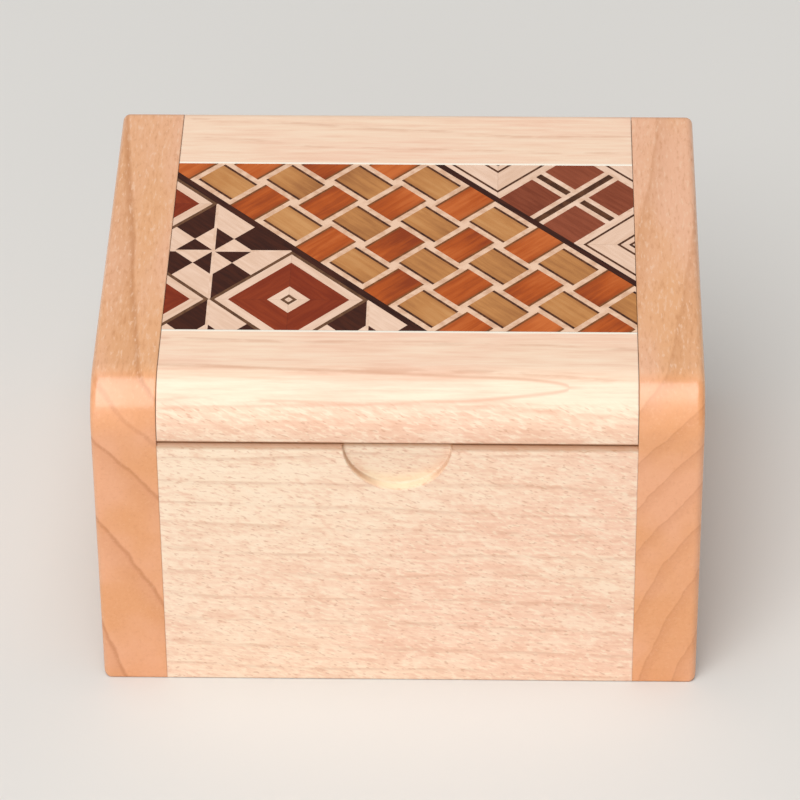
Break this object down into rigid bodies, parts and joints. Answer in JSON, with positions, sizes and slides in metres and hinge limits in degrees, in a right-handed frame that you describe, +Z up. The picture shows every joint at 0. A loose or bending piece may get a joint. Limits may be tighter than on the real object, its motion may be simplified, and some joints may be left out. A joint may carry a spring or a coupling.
{
  "type": "puzzle box",
  "caption": "Hinged-lid wooden puzzle box with thick end cheeks, a marquetry band let into the lid, a half-round thumb scoop and hidden sliding lock pins.",
  "frame": {"origin": "middle of the underside, on the surface that the box stands on", "axes": "+X to the right along the front, +Y to the back towards the hinge, +Z up"},
  "size_m": [0.095, 0.08, 0.0565],
  "materials": {
    "cherry": "sanded and oiled cherry",
    "maple": "sanded and oiled maple",
    "padauk": "planed and waxed padauk",
    "mulberry": "planed and waxed mulberry",
    "redwood": "planed and waxed red-brown hardwood",
    "walnut": "planed and waxed dark walnut",
    "blackwood": "planed and waxed blackwood",
    "holly": "planed and waxed pale dogwood",
    "hinge_brass": "drawn",
    "lock_steel": "ground"
  },
  "bodies": {
    "case": {"left_cheek": "cherry", "right_cheek": "cherry", "front_panel": "maple", "back_panel": "maple", "bottom_panel": "maple", "hinge_pin_left": "hinge_brass", "hinge_pin_right": "hinge_brass"},
    "lid": {"lid_board": "maple", "weave_red_blocks": "padauk", "weave_tan_blocks": "mulberry", "weave_dark_lines": "walnut", "weave_pale_strips": "holly", "divider_front": "blackwood", "divider_back": "blackwood", "square_outlines": "walnut", "square_cream_frames": "holly", "square_red_rings": "redwood", "square_cream_centres": "holly", "square_dark_eyes": "walnut", "pinwheel_dark": "blackwood", "pinwheel_cream": "holly", "pinwheel_cross_lines": "holly", "check_brown_squares": "redwood", "check_dark_bars": "walnut", "check_pale_strips": "holly", "nest_pale_rings": "holly", "nest_dark_lines": "walnut"},
    "lock_left": {"lock_pin_left": "lock_steel"},
    "lock_right": {"lock_pin_right": "lock_steel"}
  },
  "joints": [
    {"name": "lid_hinge", "type": "hinge", "parent": "case", "child": "lid", "pos_m": [0, 0.0364, 0.05085], "axis": [-1, 0, 0], "range_deg": [0, 98]},
    {"name": "lock_left_slide", "type": "slide", "parent": "case", "child": "lock_left", "axis": [1, 0, 0], "range_m": [0, 0.0032]},
    {"name": "lock_right_slide", "type": "slide", "parent": "case", "child": "lock_right", "axis": [-1, 0, 0], "range_m": [0, 0.0032]}
  ]
}
